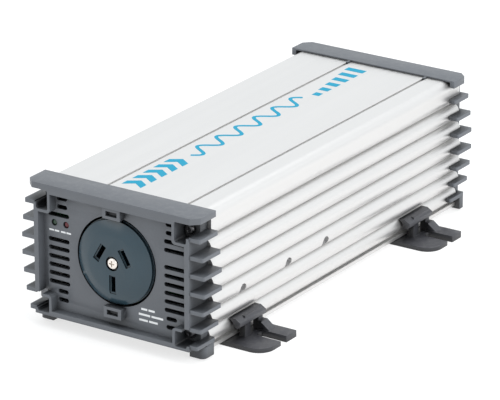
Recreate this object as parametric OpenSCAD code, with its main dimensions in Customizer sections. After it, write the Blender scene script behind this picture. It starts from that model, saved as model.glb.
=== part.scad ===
// Small 12 V power inverter: a finned aluminium extrusion closed by two plastic
// end caps, standing on four clip-on feet. Front: mains outlet, vents, two lamps.
// Rear: fan, screw terminals, rocker switch, remote jack and earth stud.
// X is right, Y runs from the front face to the back, Z is up from the floor.

/* [Overall] */
// Length from the front rim to the rear rim
length = 237; // [225:1:280]
// Height from the floor to the top of the cap lips
height = 71; // [71:0.5:74]
// Half width to the tip of a foot
foot_tip = 64.5; // [62:0.5:72]

/* [End caps] */
// Half width of a cap's side walls
cap_x = 42.7; // [42:0.1:42.8]
// Depth of the front cap
front_depth = 15.5; // [15:0.5:20]
// Depth of the rear cap's lip over the extrusion
rear_lip = 13.2; // [12:0.2:14]
// Thickness of the rear cap's frame behind the extrusion
rear_frame = 3.6; // [3:0.1:5]
// Half width of the top lip
lip_x = 47.1; // [46:0.1:48]
// How far the front panel sits behind the rim
panel_set = 4.8; // [3:0.1:6]
// Thickness of both panels
panel_t = 2.5; // [2:0.1:3]
// Lower edge of the caps
cap_z = 6.6; // [6:0.1:7]
// Reach of the longest side tooth
tooth_reach = 50.7; // [49:0.1:52]
// Thickness of a side tooth
tooth_t = 1.9; // [1.5:0.1:2.4]

/* [Extrusion] */
// Number of side fins, one level with each cap tooth
fins = 7; // [7]
// Spacing of the fins
pitch = 8.65; // [8.6:0.01:8.7]
// Height of the top fin
fin_top = 60.6; // [60:0.1:61]
// Radius of a fin's rounded crest
fin_r = 4.62; // [4.5:0.01:4.7]
// Half width of the inside
bay_x = 38.2; // [37.5:0.1:38.4]
// Lower inside face
bay_z0 = 8.6; // [8.4:0.1:9]
// Upper inside face
bay_z1 = 67.4; // [67:0.1:67.8]

/* [Outlet] */
// Height of the outlet's centre
outlet_z = 39.6; // [39:0.1:41]
// Radius of the hole for the outlet
outlet_hole_r = 21.7; // [21:0.1:22]
// Radius of the outlet's face
outlet_r = 20.2; // [19.5:0.1:20.4]

/* [Feet] */
// Distance from the front rim to the front feet
foot_front = 28.2; // [24:0.1:40]
// Distance from the front rim to the rear feet
foot_rear = 176.5; // [150:0.1:190]
// Length of a foot along the rail
foot_len = 27; // [26:0.5:30]

/* [Rear fittings] */
// Fan frame size
fan_size = 40; // [40]
// Fan centre, across
fan_x = -17.4; // [-17.8:0.1:-17.4]
// Fan centre, height
fan_z = 38.6; // [38:0.2:38.6]
// Height of the power terminals
stud_z = 47; // [46:0.5:48]

/* [Hidden] */
$fn = 48;
lip_t = 3;
wall = 2.4;
rear_panel_t = 1.8;
al_top = height - 1;
al_front = front_depth;
al_rear = length - rear_frame;
screw_x = 37.6;
screw_z = [62.2, 12.1];
clamp_y = [40, 78, 110];
clamp_z = fin_top - 4 * pitch - 1.4;
clamp_head = 42.8;
vent_pitch = 4.15;
vent_z = outlet_z - 0.8;
lamp_x = [-34.6, -28];
lamp_z = outlet_z + 11.6;
tub = [3, 37.6, 16, 57.2];
tub_y = length - 16;
stud_x = [12.4, 28.9];
switch_pos = [12.4, 27.6];
jack_pos = [29.5, 32.4];
earth_pos = [29.5, 22.6];
board_z = 17;
board_t = 1.6;
board_top = board_z + board_t;
transformer_y = [66, 112];
plate_t = 2.2;
finger_t = 3.2;
foot_in = 38;
upright_in = 45.2;
hook_y = 3.8;
hook_top = 12.6;
window_w = 6.6;
window_h = 6.6;
rocker_y = length - 11.2;
corner_x = 44.5;
lip_chamfer = 3.5;
hook_z = 67.4;
rear_tooth = 14;
vent_h = 2.1;
outlet_face_d = 1.2;
dome_r = 13;
dome_rise = 2.6;
clamp_bore_r = 2.45;
well_in = 33.6;
well_t = 1.3;
well_top = 57;
well_low = 16.8;
well_depth = 9.6;
lug_in = 38;
lug_out = 45.8;
lug_z = 1;
lug_d = 7.4;
lug_r = 2.6;

black = [0.13, 0.13, 0.14];
slate = [0.30, 0.33, 0.36];
silver = [0.86, 0.87, 0.88];
steel = [0.72, 0.73, 0.75];
copper = [0.75, 0.42, 0.22];
brass = [0.80, 0.68, 0.38];

// Frame helpers: d is the distance back from the front rim.

function from_front(d) = d - length / 2;

module span(d0, d1)
    translate([0, from_front(d1), 0])
        rotate([90, 0, 0])
            linear_extrude(d1 - d0)
                children();

module rod(x, z, d0, d1, r)
    translate([x, from_front(d0), z])
        rotate([-90, 0, 0])
            cylinder(h = d1 - d0, r = r);

module block(x0, x1, d0, d1, z0, z1)
    translate([x0, from_front(d0), z0])
        cube([x1 - x0, d1 - d0, z1 - z0]);

module both_sides() {
    children();
    mirror([1, 0, 0]) children();
}

module rounded(w, h, r) {
    square([w - 2 * r, h], center = true);
    square([w, h - 2 * r], center = true);
    for (x = [-1, 1])
        for (z = [-1, 1])
            translate([x * (w / 2 - r), z * (h / 2 - r)]) circle(r);
}

module frame_2d(x, z0, z1)
    translate([-x, z0]) square([2 * x, z1 - z0]);

module at_cap_screws()
    for (x = [-screw_x, screw_x])
        for (z = screw_z)
            translate([x, z]) children();

// Finned extrusion

function fin_z(i) = fin_top - i * pitch;
function fin_crest(z) = 45.8 - 0.0035 * pow(z - 33, 2);

module extrusion_side() {
    corner_r = 4.5;
    translate([bay_x - 1, cap_z]) square([41 - bay_x + 1, al_top - corner_r - cap_z]);
    translate([0, al_top - 2 * corner_r]) square([corner_x - corner_r, 2 * corner_r]);
    translate([corner_x - corner_r, al_top - corner_r]) circle(corner_r);
    translate([corner_x - fin_r, fin_top + 1]) circle(fin_r);
    translate([38, fin_top + 1]) square([corner_x - 38, al_top - corner_r - fin_top - 1]);
    for (i = [1 : fins - 1])
        translate([fin_crest(fin_z(i)) - fin_r, fin_z(i)]) circle(fin_r);
    translate([36.5, 2.6]) square([43.2 - 36.5, 1.7]);
    translate([36.5, 2.6]) square([41 - 36.5, 6]);
    translate([0, cap_z]) square([bay_x, bay_z0 - cap_z]);
}

module extrusion_2d() {
    difference() {
        union() {
            extrusion_side();
            mirror([1, 0]) extrusion_side();
        }
        difference() {
            frame_2d(bay_x, bay_z0, bay_z1);
            at_cap_screws() circle(3.6);
        }
        at_cap_screws() circle(1.45);
        frame_2d(bay_x + 1, board_z - 0.2, board_top + 0.2);
        for (x = [-13, 31])
            translate([x, al_top]) square([1.5, 1.6], center = true);
    }
}

module clamp_holes()
    for (s = [-1, 1])
        for (d = clamp_y)
            translate([s * 37, from_front(d), clamp_z])
                rotate([0, s * 90, 0]) {
                    cylinder(h = 12, r = 1.75);
                    translate([0, 0, 3.7]) cylinder(h = 9, r = clamp_bore_r);
                }

module housing_extrusion()
    color(silver)
        difference() {
            span(al_front, al_rear) extrusion_2d();
            clamp_holes();
        }

// End caps

function tooth_tip(z) = tooth_reach - 0.0046 * pow(z - 38.5, 2);

module tooth(root, tip, d0, d1, z) {
    r = 0.9;
    translate([0, from_front(d0), z - tooth_t / 2])
        linear_extrude(tooth_t) {
            translate([root, 0]) square([tip - r - root, d1 - d0]);
            translate([root, r]) square([tip - root, d1 - d0 - 2 * r]);
            for (y = [r, d1 - d0 - r])
                translate([tip - r, y]) circle(r);
        }
}

module lip(d0, d1, z0, chamfer_front)
    translate([0, from_front(0), z0])
        linear_extrude(height - z0)
            polygon(chamfer_front
                ? [[-cap_x - 0.8, d0], [cap_x + 0.8, d0], [lip_x, d0 + lip_chamfer], [lip_x, d1],
                   [-lip_x, d1], [-lip_x, d0 + lip_chamfer]]
                : [[-lip_x, d0], [lip_x, d0], [lip_x, d1 - lip_chamfer], [cap_x + 0.8, d1],
                   [-cap_x - 0.8, d1], [-lip_x, d1 - lip_chamfer]]);

module slot_2d(x0, x1, z, h) {
    translate([x0 + h / 2, z - h / 2]) square([x1 - x0 - h, h]);
    for (x = [x0 + h / 2, x1 - h / 2])
        translate([x, z]) circle(h / 2, $fn = 16);
}

function short_row(k) = abs(k) > 4;
function vent_in(k) = short_row(k) ? 27.2 : 26.2;
function vent_out(k) = short_row(k) ? 33 : 38;
function blocked_row(side, k) = side > 0 ? k == 2 : (k == 2 || k == 3);

module vents_2d()
    for (side = [-1, 1])
        for (k = [-6 : 6])
            if (!blocked_row(side, k))
                mirror([side < 0 ? 1 : 0, 0])
                    slot_2d(vent_in(k), vent_out(k), vent_z + k * vent_pitch, vent_h);

// A corner well is a walled pocket for a cap screw, open to the side past the nearest tooth.

module well_wall(z0, z1)
    translate([(well_in + cap_x) / 2, (z0 + z1) / 2])
        rounded(cap_x - well_in, z1 - z0, 1.8);

module well_pocket(z0, z1)
    translate([(well_in + cap_x) / 2, (z0 + z1) / 2])
        rounded(cap_x - well_in - 2 * well_t, z1 - z0 - 2 * well_t, 1);

module lug_2d()
    translate([lug_in, 0]) {
        square([lug_out - lug_in, front_depth - lug_d - lug_r]);
        square([lug_out - lug_in - lug_r, front_depth - lug_d]);
        translate([lug_out - lug_in - lug_r, front_depth - lug_d - lug_r]) circle(lug_r);
    }

// The lug wraps the outside of the foot rail below each cap's lowest tooth.

module lug() {
    linear_extrude(cap_z + 0.1 - lug_z)
        lug_2d();
    translate([cap_x - 0.3, 0, 0])
        linear_extrude(fin_z(fins - 1) - lug_z)
            square([lug_out - cap_x + 0.3, front_depth - lug_d - lug_r]);
}

module front_panel_2d()
    difference() {
        frame_2d(cap_x - 1, cap_z + 1, height - lip_t);
        translate([0, outlet_z]) circle(outlet_hole_r);
        vents_2d();
        for (x = lamp_x)
            translate([x, lamp_z]) circle(1.6);
        at_cap_screws() circle(1.9);
    }

module outlet_catch(side) {
    z = outlet_z + side * 24;
    foot_z = outlet_z + side * 24.5;
    difference() {
        block(-4.8, 4.8, 0.9, 4.2, z - 2.6, z + 2.6);
        block(-3.1, 3.1, 0.7, 3.2, z - 1.2, z + 1.2);
    }
    block(-4.8, 4.8, 4, panel_set + 0.1, foot_z - 2.1, foot_z + 2.1);
}

module front_cap()
    color(slate) {
        difference() {
            union() {
                difference() {
                    span(0, front_depth) frame_2d(cap_x, cap_z, height - lip_t + 0.1);
                    span(-1, front_depth + 1) frame_2d(cap_x - wall, cap_z + wall, height - lip_t - 1.6);
                }
                span(panel_set, panel_set + panel_t) front_panel_2d();
                both_sides() {
                    span(0, front_depth) well_wall(well_top, height - lip_t + 0.1);
                    span(0, front_depth) well_wall(cap_z, well_low);
                }
            }
            both_sides() {
                span(-1, well_depth) well_pocket(well_top, height - lip_t + well_t);
                span(-1, well_depth) well_pocket(cap_z, well_low);
                block(well_in + 5, cap_x + 1, -1, well_depth, fin_top + 0.5, height - lip_t);
                block(well_in + 5, cap_x + 1, -1, well_depth, fin_z(fins - 1) + 0.5, well_low + 0.6);
            }
            span(-1, front_depth + 1) at_cap_screws() circle(1.9);
        }
        lip(0, front_depth, height - lip_t, true);
        both_sides() {
            for (i = [0 : fins - 1])
                tooth(cap_x - 0.2, tooth_tip(fin_z(i)), 0.8, front_depth, fin_z(i));
            translate([0, from_front(front_depth), lug_z])
                mirror([0, 1, 0]) lug();
        }
        outlet_catch(1);
        outlet_catch(-1);
        for (z = [[bay_z1 - 1.8, bay_z1 - 0.1], [bay_z0 + 0.1, bay_z0 + 1.8]])
            block(-20, 20, panel_set + 1, al_front + 6, z[0], z[1]);
    }

module tub_2d(inset)
    translate([tub[0] + inset, tub[2] + inset])
        square([tub[1] - tub[0] - 2 * inset, tub[3] - tub[2] - 2 * inset]);

module fan_grille_2d()
    difference() {
        for (r = [4.6 : 3.6 : 17])
            difference() {
                circle(r + 2.4);
                circle(r);
            }
        for (a = [0, 60, 120])
            rotate(a) square([2, 60], center = true);
    }

module fan_screws_2d(r)
    for (x = [-16, 16])
        for (z = [-16, 16])
            translate([fan_x + x, fan_z + z]) circle(r);

module rear_cap()
    color(slate) {
        difference() {
            span(al_rear, length) frame_2d(cap_x, cap_z, height - 0.5);
            span(al_rear + rear_panel_t, length + 1) frame_2d(cap_x - wall, cap_z + wall, height - lip_t);
            span(al_rear + rear_panel_t, length + 1) at_cap_screws() circle(3);
            span(al_rear - 1, length + 1) at_cap_screws() circle(1.9);
            span(al_rear - 1, length + 1) translate([fan_x, fan_z]) fan_grille_2d();
            span(al_rear - 1, length + 1) fan_screws_2d(1.6);
            span(al_rear - 1, length + 1) tub_2d(1.6);
        }
        difference() {
            span(tub_y, al_rear + 0.5) tub_2d(0);
            span(tub_y + panel_t, al_rear + 2) tub_2d(1.6);
            for (x = stud_x)
                rod(x, stud_z, tub_y - 1, length, 3.3);
            span(tub_y - 1, length) translate(switch_pos) square([12.8, 17.2], center = true);
            rod(jack_pos[0], jack_pos[1], tub_y - 1, length, 3.1);
            rod(earth_pos[0], earth_pos[1], tub_y - 1, length, 2.15);
        }
        lip(length - rear_lip, length, al_top + 0.15, false);
        both_sides() {
            block(corner_x + 0.2, lip_x, length - rear_lip, length - lip_chamfer, hook_z, height);
            tooth(corner_x + 0.3, tooth_tip(fin_z(0)), length - rear_tooth, length - 0.8, fin_z(0));
            for (i = [1 : fins - 1])
                tooth(fin_crest(fin_z(i)) + 0.2, tooth_tip(fin_z(i)), length - rear_tooth, length - 0.8,
                    fin_z(i));
            for (i = [0 : fins - 1])
                block(cap_x - 0.3, tooth_tip(fin_z(i)) - 2, al_rear + 0.1, length - 0.8,
                    fin_z(i) - tooth_t / 2, fin_z(i) + tooth_t / 2);
            translate([0, from_front(al_rear + 0.1), lug_z])
                intersection() {
                    lug();
                    translate([0, 0, -1]) cube([lip_x, rear_frame - 0.2, cap_z + 5]);
                }
            block(cap_x - 0.5, lip_x - 0.3, al_rear + 0.1, length - lip_chamfer - 0.1, hook_z, height - 0.2);
        }
        for (x = [-13, 31])
            block(x - 0.6, x + 0.6, length - rear_lip - 2.6, al_rear + 1, al_top - 0.5, al_top + 0.7);
    }

// Screws: a pan head with a cross recess on a plain shank

module screw(x, z, d_head, d_tip, head_r, head_t, shank_r, dir)
    translate([x, from_front(d_head), z])
        rotate([dir > 0 ? -90 : 90, 0, 0])
            difference() {
                union() {
                    cylinder(h = head_t, r = head_r);
                    cylinder(h = abs(d_tip - d_head), r = shank_r);
                }
                for (a = [0, 90])
                    rotate(a) translate([-head_r * 0.6, -0.35, -1]) cube([head_r * 1.2, 0.7, 1.9]);
            }

module front_cap_screws()
    color(steel)
        for (x = [-screw_x, screw_x])
            for (z = screw_z)
                screw(x, z, well_depth - 2, al_front + 12, 2.5, 2, 1.45, 1);

module rear_cap_screws()
    color(steel)
        for (x = [-screw_x, screw_x])
            for (z = screw_z)
                screw(x, z, length - 0.2, al_rear - 12, 2.7, 1.6, 1.45, -1);

// Clip-on foot: plate with an open screw slot, upright with a window, hooked head

module foot() {
    near_len = 14;
    far_start = 18.6;
    corner = 8;
    difference() {
        union() {
            linear_extrude(plate_t) {
                square([foot_tip - foot_in - corner, near_len]);
                translate([0, corner]) square([foot_tip - foot_in, near_len - corner]);
                translate([foot_tip - foot_in - corner, corner]) circle(corner);
                square([13.4, foot_len]);
            }
            translate([9, far_start, 0]) cube([foot_tip - foot_in - 9, foot_len - far_start, finger_t]);
            translate([upright_in - foot_in, hook_y + 5.4, 0]) cube([3, 14.6, hook_top]);
            translate([upright_in - foot_in, foot_len - 2.4, 0])
                rotate([90, 0, 0])
                    linear_extrude(5.4)
                        polygon([[2, 0], [9.6, 0], [9.6, finger_t], [5, 6.6], [2, 6.6]]);
            translate([upright_in - foot_in, hook_y + 21.4, 0])
                rotate([90, 0, 0])
                    linear_extrude(21.4)
                        polygon([[-2.4, hook_top], [1.1, hook_top], [3.9, hook_top - 1.7],
                                 [3.9, hook_top - 3.5], [2.5, hook_top - 4.7], [0, hook_top - 4.7],
                                 [0, hook_top - 2.2], [-2, hook_top - 0.6]]);
        }
        translate([upright_in - foot_in - 1, hook_y + 9.8, plate_t + 0.2]) cube([6, window_w, window_h]);
        translate([12.4 + 2.3, (near_len + far_start) / 2, -1])
            cylinder(h = 20, r = (far_start - near_len) / 2);
        translate([12.4 + 2.3, near_len, -1]) cube([20, far_start - near_len, 20]);
    }
}

module foot_at(d, side)
    color(black)
        mirror([side < 0 ? 1 : 0, 0, 0])
            translate([foot_in, from_front(d), 0])
                foot();

module foot_front_right() foot_at(foot_front, 1);
module foot_front_left() foot_at(foot_front, -1);
module foot_rear_right() foot_at(foot_rear, 1);
module foot_rear_left() foot_at(foot_rear, -1);

// Mains outlet: two slanted slots over an upright earth slot

blade_r = 7.92;
blade_angle = 30;
blade_x = blade_r * cos(blade_angle);
blade_z = blade_r * sin(blade_angle);
earth_drop = 10.31;

module blade_slot_2d(w, h) {
    for (s = [-1, 1])
        translate([s * blade_x, blade_z]) rotate(s * blade_angle) square([w, h], center = true);
    translate([0, -earth_drop]) square([w, h], center = true);
}

module outlet_face()
    color(black)
        difference() {
            union() {
                translate([0, from_front(outlet_face_d), outlet_z])
                    rotate([-90, 0, 0])
                        cylinder(h = dome_rise, r1 = dome_r, r2 = outlet_r);
                rod(0, outlet_z, outlet_face_d + dome_rise - 0.01, panel_set + 4, outlet_r);
                rod(0, outlet_z, panel_set + 0.6, panel_set + 4, outlet_r + 0.5);
            }
            span(0, 12) translate([0, outlet_z]) blade_slot_2d(2.3, 7.4);
            span(0, 2.2) translate([0, outlet_z]) blade_slot_2d(3.6, 9.2);
            rod(0, outlet_z, 0, 2.9, 3.5);
            rod(0, outlet_z, 0, 12, 1.8);
        }

module outlet_body()
    color(black)
        difference() {
            rod(0, outlet_z, panel_set + 4, 28, 20.4);
            span(panel_set + 3, 22) translate([0, outlet_z]) blade_slot_2d(4.4, 8.8);
            rod(0, outlet_z, 0, 22, 1.6);
        }

module outlet_contacts()
    color(brass)
        span(panel_set + 5, 20.5)
            translate([0, outlet_z])
                difference() {
                    blade_slot_2d(4, 8);
                    blade_slot_2d(2.1, 9);
                }

module outlet_screw()
    color(brass)
        screw(0, outlet_z, 1.3, 18, 3.1, 1.5, 1.55, 1);

// Status lamps

module lamp(i)
    union() {
        rod(lamp_x[i], lamp_z, panel_set - 0.6, panel_set + 3.2, 1.5);
        rod(lamp_x[i], lamp_z, panel_set + panel_t + 0.1, panel_set + panel_t + 1.4, 2);
    }

module lamp_power() color([0.10, 0.35, 0.16]) lamp(0);
module lamp_fault() color([0.42, 0.08, 0.10]) lamp(1);

module lamp_board()
    color([0.10, 0.38, 0.22])
        difference() {
            block(lamp_x[0] - 3.6, lamp_x[1] + 3, panel_set + 6, panel_set + 7.4, lamp_z - 5, lamp_z + 5);
            rod(lamp_x[0], lamp_z - 3, 0, 20, 0.9);
        }

// Electronics

board_d0 = 32;
board_d1 = tub_y - 12;

module main_board()
    color([0.10, 0.38, 0.22])
        block(-bay_x - 0.8, bay_x + 0.8, board_d0, board_d1, board_z, board_top);

module control_board()
    color([0.10, 0.38, 0.22])
        block(-27, -25.4, 140, 186, board_top, board_top + 30);

module control_chips()
    color(black)
        for (d = [146, 159, 172])
            block(-25.3, -23.6, d, d + 8, board_top + 9, board_top + 20);

module transformer_cores()
    color([0.20, 0.20, 0.21])
        for (d = transformer_y)
            difference() {
                block(-21, 21, d - 8, d + 8, board_top + 1, board_top + 40);
                for (x = [-12, 12])
                    block(x - 5, x + 5, d - 9, d + 9, board_top + 7, board_top + 34);
            }

module transformer_windings()
    color(copper)
        for (d = transformer_y)
            difference() {
                translate([0, from_front(d), board_top + 7.2]) cylinder(h = 26.6, r = 16.6);
                block(-7.2, 7.2, d - 8.2, d + 8.2, board_top, board_top + 40);
                for (x = [-21, 21])
                    block(x - 4.3, x + 4.3, d - 8.2, d + 8.2, board_top, board_top + 40);
            }

module can(x, d, r, h)
    translate([x, from_front(d), board_top])
        cylinder(h = h, r = r);

module input_capacitors()
    color([0.12, 0.16, 0.30])
        for (x = [-9, 9.5, 28])
            can(x, 190, 8.2, 32);

module bus_capacitors()
    color([0.12, 0.12, 0.14])
        for (x = [-10, 14])
            can(x, 41, 8.2, 36);

module ring(x, d, z, outer, inner, half)
    translate([x, from_front(d), z])
        rotate_extrude()
            translate([inner, -half]) square([outer - inner, 2 * half]);

module choke_core()
    color([0.80, 0.78, 0.30])
        ring(12, 156, board_top + 11, 13, 8, 5);

module choke_winding()
    color(copper)
        translate([12, from_front(156), board_top + 11])
            rotate_extrude()
                difference() {
                    translate([5.6, -7.4]) square([9.8, 14.8]);
                    translate([7.9, -5.1]) square([5.2, 10.2]);
                }

module fuses()
    color([0.85, 0.45, 0.10])
        for (x = [-31, -23])
            block(x - 2.5, x + 2.5, 192, 204, board_top, board_top + 13);

transistor_w = 15.8;
clamp_x1 = bay_x - 0.4;
clamp_x0 = clamp_x1 - 4.8;

module power_transistors()
    for (d = [30.5 : 19 : 108])
        block(clamp_x0, clamp_x1, d + 1.5, d + 1.5 + transistor_w, board_top + 0.3, board_top + 21);

module insulating_strip()
    difference() {
        block(clamp_x1, bay_x, 30, 122, board_top + 0.2, board_top + 24);
        for (d = clamp_y)
            translate([clamp_x1 - 1, from_front(d), clamp_z]) rotate([0, 90, 0]) cylinder(h = 4, r = 1.9);
    }

module clamp_bar()
    difference() {
        block(clamp_x0 - 3, clamp_x0, 30, 122, board_top + 2, board_top + 10);
        for (d = clamp_y)
            translate([clamp_x0 - 4, from_front(d), clamp_z]) rotate([0, 90, 0]) cylinder(h = 8, r = 1.35);
    }

module clamp_screws()
    for (d = clamp_y)
        translate([clamp_head, from_front(d), clamp_z])
            rotate([0, -90, 0])
                difference() {
                    union() {
                        cylinder(h = 2, r = clamp_bore_r - 0.35);
                        cylinder(h = clamp_head - clamp_x0 + 2, r = 1.35);
                    }
                    translate([0, 0, -1]) cylinder(h = 2.3, r = 1.1, $fn = 6);
                }

module power_transistors_right() color(black) transistors_clear() power_transistors();
module power_transistors_left() color(black) mirror([1, 0, 0]) transistors_clear() power_transistors();

module transistors_clear()
    difference() {
        children();
        for (d = clamp_y)
            translate([clamp_x0 - 1, from_front(d), clamp_z]) rotate([0, 90, 0]) cylinder(h = 8, r = 1.9);
    }

module insulating_strip_right() color([0.75, 0.72, 0.70]) insulating_strip();
module insulating_strip_left() color([0.75, 0.72, 0.70]) mirror([1, 0, 0]) insulating_strip();
module clamp_bar_right() color(steel) clamp_bar();
module clamp_bar_left() color(steel) mirror([1, 0, 0]) clamp_bar();
module clamp_screws_right() color(steel) clamp_screws();
module clamp_screws_left() color(steel) mirror([1, 0, 0]) clamp_screws();

// Fan

fan_d1 = al_rear - 0.1;
fan_d0 = fan_d1 - 15;

module fan_frame()
    color(black)
        difference() {
            span(fan_d0, fan_d1) translate([fan_x, fan_z]) rounded(fan_size, fan_size, 3);
            rod(fan_x, fan_z, fan_d0 - 1, fan_d1, 1.55);
            rod(fan_x, fan_z, fan_d0 + 2.6, fan_d1 + 1, 18.6);
            span(fan_d0 - 1, fan_d1 + 1)
                translate([fan_x, fan_z])
                    difference() {
                        circle(18.6);
                        circle(9);
                        for (a = [45, 135])
                            rotate(a) square([3, 40], center = true);
                    }
            span(fan_d0 - 1, fan_d1 + 1) fan_screws_2d(1.7);
        }

module fan_rotor()
    color([0.10, 0.10, 0.11]) {
        rod(fan_x, fan_z, fan_d0 + 3.2, fan_d1 - 1, 9);
        rod(fan_x, fan_z, fan_d0 + 0.4, fan_d0 + 4, 1.5);
        translate([fan_x, from_front(fan_d0 + 3.6), fan_z])
            rotate([-90, 0, 0])
                for (a = [0 : 360 / 7 : 359])
                    rotate(a)
                        translate([8.4, 0, 5])
                            rotate([38, 0, 0])
                                translate([0, -0.7, -5]) cube([9.2, 1.4, 9.6]);
    }

module fan_guard()
    color(steel)
        translate([fan_x, from_front(length - 1.15), fan_z])
            rotate([-90, 0, 0]) {
                for (r = [5, 10, 15, 19])
                    rotate_extrude() translate([r, 0]) circle(0.5, $fn = 16);
                for (a = [45, 135])
                    rotate(a) cube([2 * 20.9, 1, 0.6], center = true);
                for (x = [-16, 16])
                    for (y = [-16, 16])
                        translate([x, y, 0])
                            rotate_extrude() translate([2.05, 0]) circle(0.45, $fn = 16);
            }

module fan_screws()
    color(steel)
        for (x = [-16, 16])
            for (z = [-16, 16])
                screw(fan_x + x, fan_z + z, length, fan_d0 + 1, 2.4, 0.65, 1.45, -1);

// Terminals, switch, jack and earth stud

module terminal_base()
    color(black)
        difference() {
            block(5.4, 36, tub_y + panel_t, tub_y + panel_t + 1.6, stud_z - 8, stud_z + 8);
            for (x = stud_x)
                rod(x, stud_z, tub_y, length, 3.2);
        }

module stud(x) {
    rod(x, stud_z, tub_y - 8, length - 1.4, 3);
    rod(x, stud_z, tub_y - 5.6, tub_y - 2.1, 4.6);
}

module positive_stud() color(brass) stud(stud_x[0]);
module negative_stud() color(brass) stud(stud_x[1]);

nut_d0 = tub_y + panel_t + 3.4;
nut_d1 = length - 3;

module thumb_nut(x)
    difference() {
        union() {
            rod(x, stud_z, nut_d0, nut_d1, 6);
            for (a = [0 : 30 : 330])
                rod(x + 5.8 * cos(a), stud_z + 5.8 * sin(a), nut_d0 + 1, nut_d1, 0.9);
        }
        rod(x, stud_z, nut_d0 - 1, nut_d1 + 1, 3.06);
    }

module positive_nut() color([0.70, 0.08, 0.08]) thumb_nut(stud_x[0]);
module negative_nut() color([0.08, 0.08, 0.09]) thumb_nut(stud_x[1]);

module terminal_washers()
    color(brass)
        for (x = stud_x)
            difference() {
                rod(x, stud_z, nut_d0 - 1.7, nut_d0 - 0.4, 5.6);
                rod(x, stud_z, nut_d0 - 3, nut_d0 + 1, 3.1);
            }

module bus_bars()
    color(copper)
        for (x = stud_x)
            difference() {
                union() {
                    block(x - 5, x + 5, tub_y - 2.1, tub_y - 0.3, stud_z - 6, stud_z + 8);
                    block(x - 5, x + 5, tub_y - 18, tub_y - 0.3, stud_z + 6.2, stud_z + 8);
                    block(x - 5, x + 5, tub_y - 18, tub_y - 16.2, board_top, stud_z + 8);
                }
                rod(x, stud_z, tub_y - 4, tub_y + 2, 3.2);
            }

module switch_body()
    color(black)
        difference() {
            union() {
                span(tub_y + panel_t, tub_y + panel_t + 1.6) translate(switch_pos) rounded(15, 19.4, 1.5);
                span(tub_y - 9, tub_y + panel_t) translate(switch_pos) square([12.4, 16.8], center = true);
            }
            span(tub_y - 4, tub_y + 6) translate(switch_pos) square([10.2, 14.4], center = true);
            translate([switch_pos[0], from_front(rocker_y), switch_pos[1]])
                rotate([0, 90, 0]) cylinder(h = 11.6, r = 1.05, center = true);
        }

module switch_rocker()
    color([0.10, 0.10, 0.11])
        translate([switch_pos[0], from_front(rocker_y), switch_pos[1]])
            rotate([0, 90, 0]) {
                cylinder(h = 11.2, r = 1, center = true);
                intersection() {
                    translate([0, -3.2, 0]) cylinder(h = 9.6, r = 6.6, center = true);
                    translate([0, 1.8, 0]) cube([12.6, 5.2, 9.6], center = true);
                }
            }

module switch_terminals()
    color(brass)
        for (z = [-5.5, 0, 5.5])
            block(switch_pos[0] - 2, switch_pos[0] + 2, tub_y - 15, tub_y - 9,
                switch_pos[1] + z - 0.4, switch_pos[1] + z + 0.4);

module remote_jack()
    color(black)
        difference() {
            union() {
                rod(jack_pos[0], jack_pos[1], tub_y - 10, tub_y + panel_t + 1, 3);
                rod(jack_pos[0], jack_pos[1], tub_y + panel_t, tub_y + panel_t + 1.8, 4.2);
            }
            rod(jack_pos[0], jack_pos[1], tub_y - 8, length, 1.78);
        }

earth_nut_d1 = tub_y + panel_t + 3;
earth_core_r = 1.5;

module earth_stud()
    color(brass) {
        rod(earth_pos[0], earth_pos[1], tub_y - 5, earth_nut_d1, earth_core_r);
        rod(earth_pos[0], earth_pos[1], earth_nut_d1, length - 2, 2);
        rod(earth_pos[0], earth_pos[1], tub_y - 3, tub_y - 0.2, 3.6);
    }

module earth_nuts()
    color(steel)
        difference() {
            translate([earth_pos[0], from_front(tub_y + panel_t), earth_pos[1]])
                rotate([-90, 0, 0]) cylinder(h = earth_nut_d1 - tub_y - panel_t, r = 4, $fn = 6);
            rod(earth_pos[0], earth_pos[1], tub_y, length, 2.02);
        }

housing_extrusion();
front_cap();
rear_cap();
front_cap_screws();
rear_cap_screws();
foot_front_right();
foot_front_left();
foot_rear_right();
foot_rear_left();
outlet_face();
outlet_body();
outlet_contacts();
outlet_screw();
lamp_power();
lamp_fault();
lamp_board();
main_board();
control_board();
control_chips();
transformer_cores();
transformer_windings();
input_capacitors();
bus_capacitors();
choke_core();
choke_winding();
fuses();
power_transistors_right();
power_transistors_left();
insulating_strip_right();
insulating_strip_left();
clamp_bar_right();
clamp_bar_left();
clamp_screws_right();
clamp_screws_left();
fan_frame();
fan_rotor();
fan_guard();
fan_screws();
terminal_base();
positive_stud();
negative_stud();
positive_nut();
negative_nut();
terminal_washers();
bus_bars();
switch_body();
switch_rocker();
switch_terminals();
remote_jack();
earth_stud();
earth_nuts();
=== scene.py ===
# %% [markdown]
# Power inverter: the looks
#
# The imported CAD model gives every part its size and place. This lesson keeps the parts whose
# shape is right, gives them a maker's finishes, and models the parts that need finer shape,
# such as the outlet face, the screws, the fan and the thumb nuts.

# %% Load the frame
import math
import bmesh
import bpy
from mathutils import Matrix, Vector


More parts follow.
